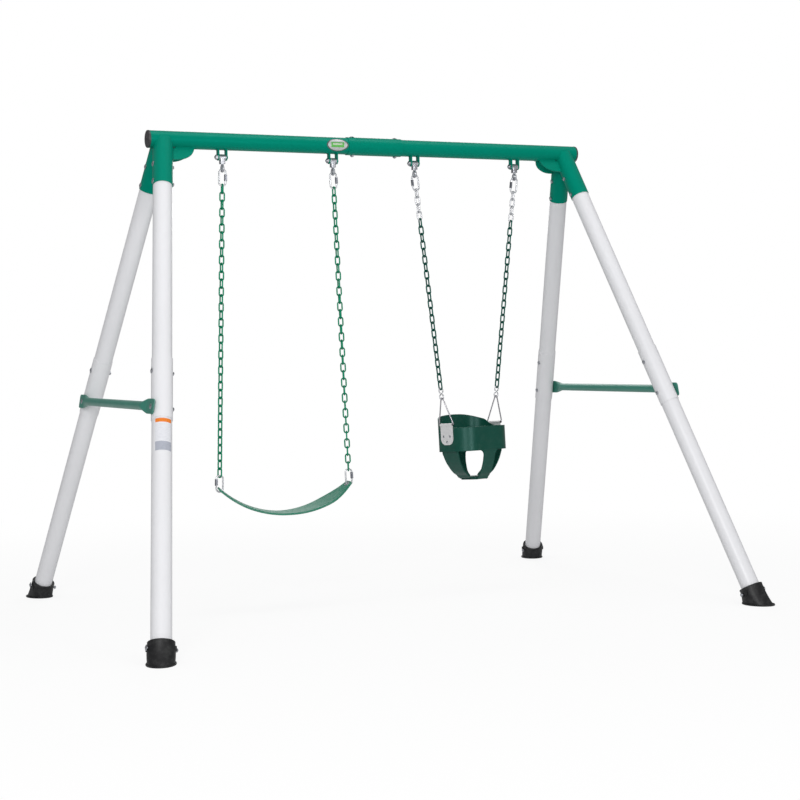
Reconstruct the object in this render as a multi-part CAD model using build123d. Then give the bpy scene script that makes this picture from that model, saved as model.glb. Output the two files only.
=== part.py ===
from build123d import *
import math
import os

os.makedirs("parts", exist_ok=True)

# ---------------------------------------------------------------- driving dimensions (mm)
# beam
beam_height = 1934.0          # ground to beam axis
beam_od = 70.0
beam_wall = 2.5
beam_half_length = 984.0
beam_split_gap = 1.0          # between the two beam tubes, under the sleeve
cap_thick = 8.0
cap_plug_depth = 30.0
beam_sleeve_half = 125.0
beam_sleeve_wall = 2.4
beam_bolt_in = 26.0           # bolt from the sleeve's end
badge_gap = 4.0               # sleeve's end to badge
badge_width = 98.0
badge_height = 58.0
badge_thick = 1.0

# legs
leg_od = 76.0
leg_wall = 2.0
beam_overhang = 58.0          # beam's end past the leg axis
leg_splay_x = 337.0           # foot further out than the top
leg_foot_y = 936.0
leg_top_clear = 12.3          # cut end, from where front and rear legs would touch
leg_joint_up = 1056.86        # joint, up the leg axis from the ground
leg_joint_gap = 1.0
leg_sleeve_half = 127.0
leg_sleeve_wall = 2.2
leg_bolt_above = 72.0         # bolts from the joint
leg_bolt_below = 76.0
tube_fit = 0.3                # radial clearance of every tube that slides over another
label_gap = 7.0               # sleeve's end to label
label_height = 128.0
label_thick = 0.3
label_half_angle = 50.0
label_turn = -97.0            # compass direction the label faces, degrees from +X

# sockets and gussets
socket_wall = 2.2
socket_top = 6.0
socket_step = 4.0             # solid neck to the leg's cut end
socket_hold = 129.0           # leg inside the socket
socket_bolt_in = 33.0         # cut end to the first bolt
socket_bolt_pitch = 81.0
gusset_thick = 6.0
gusset_reach = 84.0          # along the beam
gusset_drop = 58.0            # down the socket
gusset_notch_r = 7.0

# bolts
bolt_d = 10.0
bolt_hole_fit = 0.2
bolt_head_past = 10.0         # wider than the shank
bolt_head_h = 4.6
nut_past = 5.0
nut_h = 7.5

# braces
brace_od = 34.0
brace_wall = 1.6
brace_tab_height = 57.0
brace_tab_half = 36.0         # bolt centre to the tab's free end
brace_flare = 70.0            # flat tab to full round

# feet
boot_rim_up = 78.0            # along the leg axis, up from the ground
boot_rim_wall = 10.2
boot_base_past_long = 65.0    # wider than the leg
boot_base_past_short = 30.0
boot_base_h = 6.0
boot_waist_z = 24.0
boot_waist_past_long = 41.0
boot_waist_past_short = 25.0
boot_floor = 8.0
boot_bolt_up = 56.0
boot_boss_r = 9.0
boot_boss_out = 16.0          # past the leg's side
boot_bolt_d = 8.0
boot_head_past = 9.0
boot_nut_past = 6.0

# hangers
hanger_x_inner = {"belt": 188.0, "bucket": 192.0}
hanger_spacing = 489.0
pin_below_beam = 29.0
pin_d = 12.0
pin_running_fit = 0.06
ear_thick = 4.5
ear_past_pin = 15.0
ear_pitch = 34.6
pin_head_past = 8.0
pin_head_h = 6.0
pin_nut_past = 7.0
pin_nut_h = 13.0
yoke_wall = 6.5
yoke_side_gap = 0.5
yoke_block_w = 21.0
yoke_block_d = 24.0
yoke_block_h = 14.5           # below the barrel
stem_d = 10.0
stem_head_d = 16.0
stem_head_h = 5.0
stem_fit = 0.08
part_gap = 0.3                # between curved faces of separate pieces
joint_gap = 0.9               # same, where one turns on the other
eye_room = 4.6                # inside the eye, round the quick link's wire
eye_wire_r = 4.5
eye_clear = 1.0               # eye below the yoke

# quick links
ql_wire_d = 6.8
ql_inside_w = 21.4
ql_inside_l = 60.4
ql_nut_past = 4.7
ql_nut_len = 26.0

# chains
chain_wire_d = 6.2
chain_inside_w = 12.6
belt_pitch = 32.2
belt_links = 37
belt_twist = {"left": 30.0, "right": -38.0}      # whole chain, degrees
belt_first_turn = {"left": 0.0, "right": 10.0}
bucket_pitch_len = 32.0
bucket_zinc_links = 4
bucket_green_links = 23

# belt seat
seat_half_span = 288.5
belt_thick = 6.5
belt_width = 142.0
belt_end_margin = 10.0        # either side of the grommet
belt_sag = 104.93             # holes to mid span
belt_end_edge = 2.0           # past the grommet
belt_shoulder_x = 172.0
belt_roll_left = 12.0          # back edge raised towards the ends, degrees
belt_roll_right = 3.0
belt_thread_angle = 38.0      # where on the quick link's bow the belt hangs
grommet_clear = 9.6           # bore past the quick link's wire
grommet_wall = 1.0
grommet_flange = 3.8          # past the barrel
grommet_flange_t = 1.2

# bucket seat
bucket_yaw = 16.0
bucket_lean = 3.0             # hanging balance, front raised, degrees
skin = 4.5
skin_gap = 0.2
bucket_half_w = 143.0
bucket_half_d = 112.0
bucket_corner_r = 80.0
band_drop = 15.0              # plate hinge line to the band's top
band_height = 102.0
band_end = 55.0
bucket_depth = 127.0          # below the band
front_strap_half = 32.0
back_strap_half_top = 52.0
back_strap_half_low = 32.0
leg_hole_corner_r = 25.0      # where a strap leaves its band
side_strap_half_top = 50.0
side_strap_half_low = 36.0
strap_flat_half = 51.0        # flat under the seat, where the straps cross
side_strap_drop = 28.0        # plate hinge line to its top
back_rise = 58.0              # above the band
bail_rise = 113.78            # plate hinge line to where the chain bears
bail_wire_d = 5.5
bail_past_plate = 8.0
bail_corner_r = 5.0
bail_apex_r = 6.5
bail_spread = 18.0            # apex further out than the base
plate_width = 76.0
plate_thick = 2.5
plate_height = 88.0
plate_roll_wall = 2.7
s_hook_wire_d = 5.5
s_hook_inside_w = 16.5
s_hook_inside_l = 43.0
rivet_head_r = 5.5
rivet_head_h = 2.2
rivet_r = 2.5
rivet_places = ((-20.0, 51.0), (20.0, 51.0), (0.0, 75.0))     # across, below the hinge line

# ---------------------------------------------------------------- worked-out values
beam_r = beam_od / 2
leg_r = leg_od / 2
socket_r = leg_r + tube_fit + socket_wall
leg_sleeve_r = leg_r + tube_fit + leg_sleeve_wall
beam_sleeve_r = beam_r + tube_fit + beam_sleeve_wall
pin_drop = beam_r + pin_below_beam
pin_z = beam_height - pin_drop
leg_top_x = beam_half_length - beam_overhang
leg_foot_x = leg_top_x + leg_splay_x
leg_length = math.sqrt(leg_splay_x ** 2 + leg_foot_y ** 2 + beam_height ** 2)
half_angle = math.atan2(leg_foot_y, math.hypot(beam_height, leg_splay_x))
# distances along the leg axis, down from the beam axis
leg_start = leg_r / math.tan(half_angle) + leg_top_clear
leg_joint_at = leg_length - leg_joint_up
leg_sleeve_from, leg_sleeve_to = leg_joint_at - leg_sleeve_half, leg_joint_at + leg_sleeve_half
leg_bolt_upper, leg_bolt_lower = leg_joint_at - leg_bolt_above, leg_joint_at + leg_bolt_below
label_from = leg_sleeve_to + label_gap
socket_bore_from = leg_start - socket_step
socket_end = leg_start + socket_hold
socket_bolt_upper = leg_start + socket_bolt_in
socket_bolt_lower = socket_bolt_upper + socket_bolt_pitch
beam_bolt_x = beam_sleeve_half - beam_bolt_in
badge_x = -(beam_sleeve_half + badge_gap + badge_width / 2)
bolt_head_d = bolt_d + bolt_head_past
nut_af = bolt_d + nut_past
boot_rim_r = leg_r + tube_fit + boot_rim_wall
boot_base_long, boot_base_short = leg_od + boot_base_past_long, leg_od + boot_base_past_short
boot_waist_long, boot_waist_short = leg_od + boot_waist_past_long, leg_od + boot_waist_past_short
boot_boss_half = leg_r + boot_boss_out
hangers = {"belt": (-hanger_x_inner["belt"] - hanger_spacing, -hanger_x_inner["belt"]),
           "bucket": (hanger_x_inner["bucket"], hanger_x_inner["bucket"] + hanger_spacing)}
ear_width = pin_d + ear_past_pin
pin_head_d = pin_d + pin_head_past
pin_nut_af = pin_d + pin_nut_past
yoke_barrel_od = pin_d + 2 * yoke_wall
yoke_drop = yoke_barrel_od / 2 + yoke_block_h
ql_width, ql_length = ql_inside_w + 2 * ql_wire_d, ql_inside_l + 2 * ql_wire_d
ql_nut_af = ql_wire_d + ql_nut_past
eye_mean_r = ql_wire_d / 2 + eye_room + eye_wire_r
eye_drop = yoke_drop + eye_clear + eye_wire_r + eye_mean_r
chain_width = chain_inside_w + 2 * chain_wire_d
grommet_bore = ql_wire_d + grommet_clear
grommet_flange_d = grommet_bore + 2 * grommet_wall + 2 * grommet_flange
belt_end_width = grommet_flange_d + 2 * belt_end_margin
belt_end_past_hole = grommet_flange_d / 2 + belt_end_edge
bail_half_base = plate_width / 2 + bail_past_plate
plate_roll_od = bail_wire_d + 2 * part_gap + 2 * plate_roll_wall
s_hook_loop_od = s_hook_inside_w + 2 * s_hook_wire_d
s_hook_length = s_hook_inside_l + 2 * s_hook_wire_d
sides = {"left": -1, "right": 1}
ends = {"front": -1, "rear": 1}


def v(*c):
    return Vector(*c)


def export(shape, name):
    export_step(shape, "parts/" + name + ".step")


def group(items, name):
    export(Compound(children=list(items)), name)


def leg_plane(sx, sy):
    """Origin on the beam axis, z down the leg, x square to the A-frame and pointing outward."""
    top = v(sx * leg_top_x, 0, beam_height)
    foot = v(sx * leg_foot_x, sy * leg_foot_y, 0)
    down = (foot - top).normalized()
    out = v(sx * beam_height, 0, leg_foot_x - leg_top_x).normalized()
    return Plane(origin=top, x_dir=out, z_dir=down)


def rod(r, z0, z1):
    return Pos(0, 0, (z0 + z1) / 2) * Cylinder(r, z1 - z0)


def tube(ro, ri, z0, z1):
    return rod(ro, z0, z1) - rod(ri, z0 - 1, z1 + 1)


def rod_x(r, x0, x1):
    return Pos((x0 + x1) / 2, 0, 0) * Rot(0, 90, 0) * Cylinder(r, x1 - x0)


def cross_hole(r, at):
    return Pos(0, 0, at) * rod_x(r, -120, 120)


def hex_x(af, x0, x1):
    prism = extrude(RegularPolygon(af / 2, 6, major_radius=False), x1 - x0)
    return Pos(x0, 0, 0) * Rot(0, 90, 0) * prism


def dome_x(r, h, x):
    """Shallow dome on the +x side of x."""
    big = (r * r + h * h) / (2 * h)
    a = math.asin(r / big) / 2
    mid = (x + h - big + big * math.cos(a), big * math.sin(a))
    edges = [Line((x, 0), (x, r)), ThreePointArc((x, r), mid, (x + h, 0)), Line((x + h, 0), (x, 0))]
    return revolve(make_face(edges), Axis.X)


def bolt_x(d, head_d, head_h, x_nut, x_head):
    """Dome-headed bolt along x, head at +x, ending inside its nut at -x."""
    return dome_x(head_d / 2, head_h, x_head) + rod_x(d / 2, x_nut, x_head + 0.5)


def nut_x(d, af, h, x_seat):
    """Domed cap nut seated at x_seat and pointing to -x."""
    body = hex_x(af, x_seat - h * 0.6, x_seat)
    dome = Rot(0, 0, 180) * dome_x(af * 0.44, h * 0.5, -x_seat + h * 0.55)
    return body + dome - rod_x(d / 2 + 0.05, x_seat - h * 0.62, x_seat + 1)


def stadium(width, length, wire_d):
    """Closed oval link in the xz plane, centred on the origin, long way up."""
    r = (width - wire_d) / 2
    h = (length - wire_d) / 2 - r
    arm = Pos(r, 0, 0) * Cylinder(wire_d / 2, 2 * h)
    bow = revolve(Plane.XZ * Pos(r, 0) * Circle(wire_d / 2), Axis.Z, 180)
    bow = Rot(90, 0, 0) * bow
    up = Pos(0, 0, h) * bow
    if up.bounding_box().max.Z < h + r:
        up = Pos(0, 0, h) * Rot(180, 0, 0) * bow
    low = Rot(180, 0, 0) * up
    return arm + (Pos(-2 * r, 0, 0) * arm) + up + low


# ---------------------------------------------------------------- beam
beam_solid = Rot(0, 90, 0) * Cylinder(beam_r, 2 * beam_half_length)
beam_bore = Rot(0, 90, 0) * Cylinder(beam_r - beam_wall, 2 * beam_half_length + 2)
bolt_shift = {s: Pos(sx * beam_bolt_x, 0, 0) for s, sx in sides.items()}
up_axis = Rot(0, -90, 0)      # turns +x to +z, so heads sit on top of the beam
at_beam = Pos(0, 0, beam_height)
for side, sx in sides.items():
    half = Pos(sx * (beam_half_length / 2 + beam_split_gap / 4), 0, 0) * Rot(0, 90, 0) * Cylinder(
        beam_r, beam_half_length - beam_split_gap / 2)
    half = half - beam_bore
    half = half - bolt_shift[side] * up_axis * rod_x(bolt_d / 2 + bolt_hole_fit, -60, 60)
    export(at_beam * half, "beam_tube_" + side)
    plug_r = beam_r - beam_wall - 0.2
    disc = Cylinder(beam_r + 0.6, cap_thick)
    disc = fillet(disc.edges().sort_by(Axis.Z)[-1], 3.0)
    plug = Pos(0, 0, -cap_thick / 2 - cap_plug_depth / 2) * (
        Cylinder(plug_r, cap_plug_depth) - Cylinder(plug_r - 3, cap_plug_depth + 0.1))
    cap = disc + plug
    turn = Rot(0, 90, 0) if sx > 0 else Rot(0, -90, 0)
    cap = Pos(sx * (beam_half_length + cap_thick / 2), 0, beam_height) * turn * cap
    export(cap, "beam_end_cap_" + side)

sleeve = Rot(0, 90, 0) * Cylinder(beam_sleeve_r, 2 * beam_sleeve_half)
sleeve = sleeve - Rot(0, 90, 0) * Cylinder(beam_r + tube_fit, 2 * beam_sleeve_half + 2)
for side in sides:
    sleeve = sleeve - bolt_shift[side] * up_axis * rod_x(bolt_d / 2 + bolt_hole_fit, -60, 60)
export(at_beam * sleeve, "beam_sleeve")
group([at_beam * bolt_shift[s] * up_axis * bolt_x(bolt_d, bolt_head_d, bolt_head_h,
                                                  -beam_sleeve_r - nut_h * 0.6, beam_sleeve_r)
       for s in sides], "beam_bolts")
group([at_beam * bolt_shift[s] * up_axis * nut_x(bolt_d, nut_af, nut_h, -beam_sleeve_r)
       for s in sides], "beam_nuts")

badge = Rot(0, 90, 0) * (Cylinder(beam_r + badge_thick, badge_width) - Cylinder(beam_r + 0.02, badge_width + 2))
badge = badge & Plane.XZ * extrude(
    Ellipse(badge_width / 2, beam_r * math.sin(badge_height / beam_od)), beam_od)
export(Pos(badge_x, 0, beam_height) * badge, "badge_plate")

# ---------------------------------------------------------------- legs, sockets, gussets, feet
frame_bolts, frame_nuts, sleeves, gussets = [], [], [], []
hole_r = bolt_d / 2 + bolt_hole_fit
brace_x = leg_sleeve_r + brace_wall + 0.4
for side, sx in sides.items():
    for end, sy in ends.items():
        pl = leg_plane(sx, sy).location
        tag = end + "_" + side
        half_space = Pos(sx * leg_top_x, sy * 300, beam_height - 100) * Box(900, 600, 900)

        socket = rod(socket_r, socket_top, socket_end) - rod(leg_r + tube_fit, socket_bore_from, socket_end + 1)
        for at in (socket_bolt_upper, socket_bolt_lower):
            socket = socket - cross_hole(hole_r, at)
        socket = (pl * socket - at_beam * beam_solid) & half_space
        export(socket, "leg_socket_" + tag)

        upper = tube(leg_r, leg_r - leg_wall, leg_start, leg_joint_at - leg_joint_gap / 2)
        for at in (socket_bolt_upper, socket_bolt_lower, leg_bolt_upper):
            upper = upper - cross_hole(hole_r, at)
        export(pl * upper, "upper_leg_" + tag)

        sleeve = tube(leg_sleeve_r, leg_r + tube_fit, leg_sleeve_from, leg_sleeve_to)
        for at in (leg_bolt_upper, leg_bolt_lower):
            sleeve = sleeve - cross_hole(hole_r, at)
        sleeves.append(pl * sleeve)

        boot_bolt_at = leg_length - boot_bolt_up
        lower = tube(leg_r, leg_r - leg_wall, leg_joint_at + leg_joint_gap / 2, leg_length + 60)
        lower = lower - cross_hole(hole_r, leg_bolt_lower)
        lower = lower - cross_hole(boot_bolt_d / 2 + bolt_hole_fit, boot_bolt_at)
        trim = Pos(sx * leg_foot_x, sy * leg_foot_y, boot_floor + 0.5 - 150) * Box(400, 400, 300)
        export(pl * lower - trim, "lower_leg_" + tag)

        # bolts: heads outside, cap nuts inside the A-frame
        for at in (socket_bolt_upper, socket_bolt_lower):
            frame_bolts.append(pl * Pos(0, 0, at) * bolt_x(
                bolt_d, bolt_head_d, bolt_head_h, -socket_r - nut_h * 0.6, socket_r))
            frame_nuts.append(pl * Pos(0, 0, at) * nut_x(bolt_d, nut_af, nut_h, -socket_r))
        for at, head in ((leg_bolt_upper, leg_sleeve_r), (leg_bolt_lower, brace_x + brace_wall)):
            frame_bolts.append(pl * Pos(0, 0, at) * bolt_x(
                bolt_d, bolt_head_d, bolt_head_h, -leg_sleeve_r - nut_h * 0.6, head))
            frame_nuts.append(pl * Pos(0, 0, at) * nut_x(bolt_d, nut_af, nut_h, -leg_sleeve_r))

        # gusset in the plane of the beam axis and the leg axis
        down = v(0, sy * math.sin(half_angle), -math.cos(half_angle))
        gp = Plane(origin=(0, 0, beam_height), x_dir=(sx, 0, 0), z_dir=v(sx, 0, 0).cross(down))
        corner = leg_top_x - socket_r
        with BuildSketch() as sk:
            with Locations((corner, beam_r)):
                Ellipse(gusset_reach, gusset_drop)
                Circle(gusset_notch_r, mode=Mode.SUBTRACT)
            with Locations((corner - 200 + 30, beam_r + 100 - 2)):
                Rectangle(400, 200, mode=Mode.INTERSECT)
        plate = extrude(sk.sketch, gusset_thick / 2, both=True)
        plate = gp.location * plate
        plate = plate - at_beam * beam_solid - pl * rod(socket_r, -60, socket_end)
        keep = [s for s in plate.solids() if s.volume > 2000]
        gussets.append(max(keep, key=lambda s: s.volume))

        # rubber boot: flat oval base, waist and round rim square to the leg
        lean = math.atan2(math.hypot(leg_foot_x - leg_top_x, leg_foot_y), beam_height)
        heading = math.degrees(math.atan2(sy * leg_foot_y, sx * (leg_foot_x - leg_top_x)))
        bp = Location((sx * leg_foot_x, sy * leg_foot_y, 0), (0, 0, heading))
        along = lambda z: -z * math.tan(lean)
        base = extrude(Ellipse(boot_base_long / 2, boot_base_short / 2), boot_base_h)
        rim_x = -boot_rim_up * math.sin(lean)
        rim_z = boot_rim_up * math.cos(lean)
        low = Pos(along(boot_base_h), 0, boot_base_h - 0.5) * Ellipse(boot_base_long / 2 - 4, boot_base_short / 2 - 4)
        waist = Pos(along(boot_waist_z), 0, boot_waist_z) * Ellipse(boot_waist_long / 2, boot_waist_short / 2)
        rim = Pos(rim_x, 0, rim_z) * Rot(0, -math.degrees(lean), 0) * Circle(boot_rim_r)
        body = loft([low, waist, rim]) + base
        boss = Pos(-boot_bolt_up * math.sin(lean), 0, boot_bolt_up * math.cos(lean)) * Rot(90, 0, 0) * Cylinder(
            boot_boss_r, 2 * boot_boss_half)
        body = bp * (body + boss)
        bore = pl * rod(leg_r + tube_fit, leg_length - 160, leg_length + 60)
        floor = Pos(sx * leg_foot_x, sy * leg_foot_y, boot_floor - 100) * Box(400, 400, 200)
        body = body - (bore - floor)
        body = body - pl * cross_hole(boot_bolt_d / 2 + bolt_hole_fit, boot_bolt_at)
        export(max(body.solids(), key=lambda s: s.volume), "foot_boot_" + tag)
        frame_bolts.append(pl * Pos(0, 0, boot_bolt_at) * bolt_x(
            boot_bolt_d, boot_bolt_d + boot_head_past, 5.0, -boot_boss_half - 4.7, boot_boss_half))
        frame_nuts.append(pl * Pos(0, 0, boot_bolt_at) * nut_x(boot_bolt_d, boot_bolt_d + boot_nut_past, 8.0, -boot_boss_half))

group(sleeves, "leg_sleeves")
group(gussets, "socket_gussets")
group(frame_bolts, "frame_bolts")
group(frame_nuts, "frame_nuts")

# label wrapped on the front left lower leg
pl = leg_plane(-1, -1)
face_dir = v(math.cos(math.radians(label_turn)), math.sin(math.radians(label_turn)), 0)
ang = math.degrees(math.atan2(face_dir.dot(pl.y_dir), face_dir.dot(pl.x_dir)))
wrap = tube(leg_r + 0.02 + label_thick, leg_r + 0.02, label_from, label_from + label_height)
wedge = extrude(make_face(Polyline((0, 0), *[(90 * math.cos(math.radians(t)), 90 * math.sin(math.radians(t)))
                for t in range(int(-label_half_angle), int(label_half_angle) + 1, 10)], (0, 0))), 3000)
export(pl.location * (wrap & Rot(0, 0, ang) * wedge), "leg_label")

# ---------------------------------------------------------------- cross braces
for side, sx in sides.items():
    plf = leg_plane(sx, -1)
    bolt_mid = plf.origin + plf.z_dir * leg_bolt_lower
    centre = v(bolt_mid.X, 0, bolt_mid.Z) + plf.x_dir * brace_x
    bolt_y = abs(bolt_mid.Y)
    # local frame: x outward, y along the brace, z up in the A-frame plane
    frame = Plane(origin=centre, x_dir=plf.x_dir, z_dir=plf.x_dir.cross(v(0, 1, 0)))
    # round tube pressed flat towards each end, as sections along its length
    round_half = bolt_y - brace_tab_half - brace_flare
    sections = []
    for y in [round_half + brace_flare * k / 8 for k in range(9)]:
        k = (y - round_half) / brace_flare
        k = k * k * (3 - 2 * k)
        hx = brace_od / 2 + (brace_wall - brace_od / 2) * k
        hz = brace_od / 2 + (brace_tab_height - brace_od) / 2 * k
        sections.append((y, Rot(90, 0, 0) * RectangleRounded(2 * hx, 2 * hz, hx - 0.02)))
    body = loft([Pos(0, -y, 0) * s for y, s in reversed(sections)] + [Pos(0, y, 0) * s for y, s in sections],
                ruled=True)
    body = body - Rot(90, 0, 0) * Cylinder(brace_od / 2 - brace_wall, 2 * round_half - 1)
    for sy in (-1, 1):
        tab = Pos(0, sy * bolt_y, 0) * Box(2 * brace_wall, 2 * brace_tab_half + 1, brace_tab_height)
        outer = [e for e in tab.edges().filter_by(Axis.X) if abs(e.center().Y) > bolt_y + 10]
        body = body + fillet(outer, 12.0)
        body = body - Pos(0, sy * bolt_y, 0) * rod_x(hole_r, -40, 40)
    export(frame.location * body, "cross_brace_" + side)

# ---------------------------------------------------------------- hangers
barrel_len = ear_pitch - ear_thick - 2 * yoke_side_gap
ears, pins, nuts = [], [], []
for x in hangers["belt"] + hangers["bucket"]:
    for sx in (-1, 1):
        ear = Box(ear_thick, ear_width, pin_drop, align=(Align.CENTER, Align.CENTER, Align.MIN))
        ear = ear + rod_x(ear_width / 2, -ear_thick / 2, ear_thick / 2)
        ear = ear - rod_x(pin_d / 2 + 0.15, -30, 30)
        ear = Pos(x + sx * ear_pitch / 2, 0, pin_z) * ear - at_beam * beam_solid
        ears.append(max(ear.solids(), key=lambda s: -s.center().Z))
    seat_x = ear_pitch / 2 + ear_thick / 2
    pin = bolt_x(pin_d, pin_head_d, pin_head_h, -seat_x - pin_nut_h * 0.6, seat_x)
    pins.append(Pos(x, 0, pin_z) * pin)
    nuts.append(Pos(x, 0, pin_z) * nut_x(pin_d, pin_nut_af, pin_nut_h, -seat_x))
group(ears, "hanger_ears")
group(pins, "hanger_pins")
group(nuts, "hanger_pin_nuts")

for swing, xs in hangers.items():
    yokes = []
    for i, x in enumerate(xs):
        yoke = rod_x(yoke_barrel_od / 2, -barrel_len / 2, barrel_len / 2)
        block = Pos(0, 0, -yoke_drop / 2) * Box(yoke_block_w, yoke_block_d, yoke_drop)
        block = fillet(block.edges().filter_by(Axis.Z), 5.0)
        yoke = yoke + block - rod_x(pin_d / 2 + pin_running_fit, -40, 40)
        head_low = -yoke_drop + 3.5
        yoke = yoke - rod(stem_d / 2 + stem_fit, -yoke_drop - 1, head_low + 1)
        yoke = yoke - rod(stem_head_d / 2 + part_gap, head_low, head_low + stem_head_h + 2 * part_gap)
        yokes.append(Pos(x, 0, pin_z) * yoke)
        eye = Pos(0, 0, -eye_drop) * Rot(0, 90, 0) * Torus(eye_mean_r, eye_wire_r)
        stem = rod(stem_d / 2, -eye_drop + eye_mean_r, head_low + part_gap + 1)
        eye = eye + stem + rod(stem_head_d / 2, head_low + part_gap, head_low + part_gap + stem_head_h)
        export(Pos(x, 0, pin_z) * eye, swing + "_swivel_" + ("left", "right")[i])
    group(yokes, swing + "_yokes")

# ---------------------------------------------------------------- chains and quick links
ql_in = ql_inside_l
hang_z = pin_z - eye_drop - (eye_mean_r - eye_wire_r) + joint_gap  # inner top of an upper quick link
quick_link = stadium(ql_width, ql_length, ql_wire_d)


def link_frame(top, low, at):
    """Frame on the line from top to low, at that distance down it, z up the line, x mostly +X."""
    d = (top - low).normalized()
    x = (v(1, 0, 0) - d * d.dot(v(1, 0, 0))).normalized()
    return Plane(origin=top - d * at, x_dir=x, z_dir=d).location


def chain_links(top, low, start, pitch, count, first_turn, twist, skip=0):
    link = stadium(chain_width, pitch + part_gap + 2 * chain_wire_d, chain_wire_d)
    items = []
    for i in range(skip, skip + count):
        turn = first_turn + 90 * (i % 2) + twist * i
        items.append(link_frame(top, low, start + (i + 0.5) * pitch) * Rot(0, 0, turn) * link)
    return items


def ql_nut(side):
    n = extrude(RegularPolygon(ql_nut_af / 2, 6, major_radius=False), ql_nut_len / 2, both=True)
    n = n - Cylinder(ql_wire_d / 2 + 0.05, ql_nut_len + 2)
    return Pos(side * (ql_width - ql_wire_d) / 2, 0, 0) * n


# belt swing
belt_x = sum(hangers["belt"]) / 2
half_hang = (hangers["belt"][1] - hangers["belt"][0]) / 2
belt_run = 2 * ql_in + belt_links * belt_pitch - joint_gap
belt_fall = math.sqrt(belt_run ** 2 - (seat_half_span - half_hang) ** 2)
uppers, upper_nuts, lowers, lower_nuts = [], [], [], []
for name, sx in sides.items():
    top = v(belt_x + sx * half_hang, 0, hang_z)
    low = v(belt_x + sx * seat_half_span, 0, hang_z - belt_fall)
    at_upper = link_frame(top, low, ql_in / 2)
    at_lower = link_frame(top, low, belt_run - ql_in / 2)
    uppers.append(at_upper * quick_link)
    upper_nuts.append(at_upper * ql_nut(1))
    lowers.append(at_lower * quick_link)
    lower_nuts.append(at_lower * Pos(0, 0, 6) * ql_nut(sx))
    group(chain_links(top, low, ql_in - part_gap / 2, belt_pitch, belt_links,
                      90.0 + belt_first_turn[name], belt_twist[name] / belt_links), "belt_chain_" + name)
group(uppers, "belt_upper_quick_links")
group(upper_nuts, "belt_upper_link_nuts")
group(lowers, "belt_lower_quick_links")
group(lower_nuts, "belt_lower_link_nuts")

# belt seat: an arc hung from the two lower quick links
bow_r = (ql_width - ql_wire_d) / 2
th = math.radians(belt_thread_angle)
hole_x = seat_half_span - bow_r * math.sin(th)
hole_z = hang_z - belt_fall + (bow_r - ql_wire_d / 2) - bow_r * math.cos(th)
arc_r = (hole_x ** 2 + belt_sag ** 2) / (2 * belt_sag)
arc_centre = hole_z - belt_sag + arc_r
end_ang = math.asin(hole_x / arc_r)
tip_ang = end_ang + belt_end_past_hole / arc_r
tip_x = arc_r * math.sin(tip_ang)


def belt_section(ang):
    """Place on the seat's arc, z along it towards +X, x across it, with the strap's own roll."""
    roll = belt_roll_left * max(0.0, -ang / tip_ang) ** 1.3 + belt_roll_right * max(0.0, ang / tip_ang) ** 1.3
    origin = v(arc_r * math.sin(ang), 0, arc_centre - arc_r * math.cos(ang))
    along = v(math.cos(ang), 0, math.sin(ang))
    across = v(0, math.cos(math.radians(roll)), 0) + v(0, 1, 0).cross(along) * -math.sin(math.radians(roll))
    return Plane(origin=origin, x_dir=across, z_dir=along)


def belt_half_width(x):
    """Full width in the middle, drawn in smoothly past the shoulders to the end width."""
    k = min(1.0, max(0.0, (abs(x) - belt_shoulder_x) / (tip_x - belt_shoulder_x)))
    k = k * k * (1.9 - 0.9 * k)
    return belt_width / 2 + (belt_end_width - belt_width) / 2 * k


belt = loft([belt_section(tip_ang * k / 12) * Rectangle(
    2 * belt_half_width(arc_r * math.sin(tip_ang * k / 12)), belt_thick) for k in range(-12, 13)])
ends_of_belt = [e for e in belt.edges() if abs(e.length - belt_thick) < 0.5 and abs(e.center().X) > tip_x - 3]
belt = fillet(ends_of_belt, 14.0)
grommets = []
for sx in (-1, 1):
    at_hole = belt_section(sx * end_ang).location * Rot(90, 0, 0)
    belt = belt - at_hole * Cylinder(grommet_bore / 2 + grommet_wall + 0.1, 40)
    t = belt_thick / 2 + 0.35
    g = Cylinder(grommet_bore / 2 + grommet_wall, 2 * t + 0.2)
    for s in (-1, 1):
        g = g + Pos(0, 0, s * (t + grommet_flange_t / 2)) * Cylinder(grommet_flange_d / 2, grommet_flange_t)
    g = g - Cylinder(grommet_bore / 2, 40)
    grommets.append(Pos(belt_x, 0, 0) * at_hole * g)
export(Pos(belt_x, 0, 0) * max(belt.solids(), key=lambda s: s.volume), "belt_seat")
group(grommets, "belt_grommets")

# ---------------------------------------------------------------- bucket swing
bucket_x = sum(hangers["bucket"]) / 2
half_hang = (hangers["bucket"][1] - hangers["bucket"][0]) / 2
s_in = s_hook_inside_l
bucket_links = bucket_zinc_links + bucket_green_links
bucket_run = ql_in + bucket_links * bucket_pitch_len + s_in - part_gap
eye_u = bucket_half_w + part_gap + plate_thick / 2
yaw = math.radians(bucket_yaw)
side_dir = v(math.cos(yaw), math.sin(yaw), 0)


def apex(half):
    """Bearing point of the right chain for an apex half distance."""
    flat = side_dir * half - v(half_hang, 0, 0)
    return hang_z - math.sqrt(bucket_run ** 2 - flat.length ** 2), flat.length


apex_half = eye_u + bail_spread
apex_z, off = apex(apex_half)
eye_z = apex_z + joint_gap - bail_rise
band_top = eye_z - band_drop
band_bottom = band_top - band_height
bucket_low = band_bottom - bucket_depth
side_strap_top = eye_z - side_strap_drop
back_top = band_top + back_rise


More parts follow.
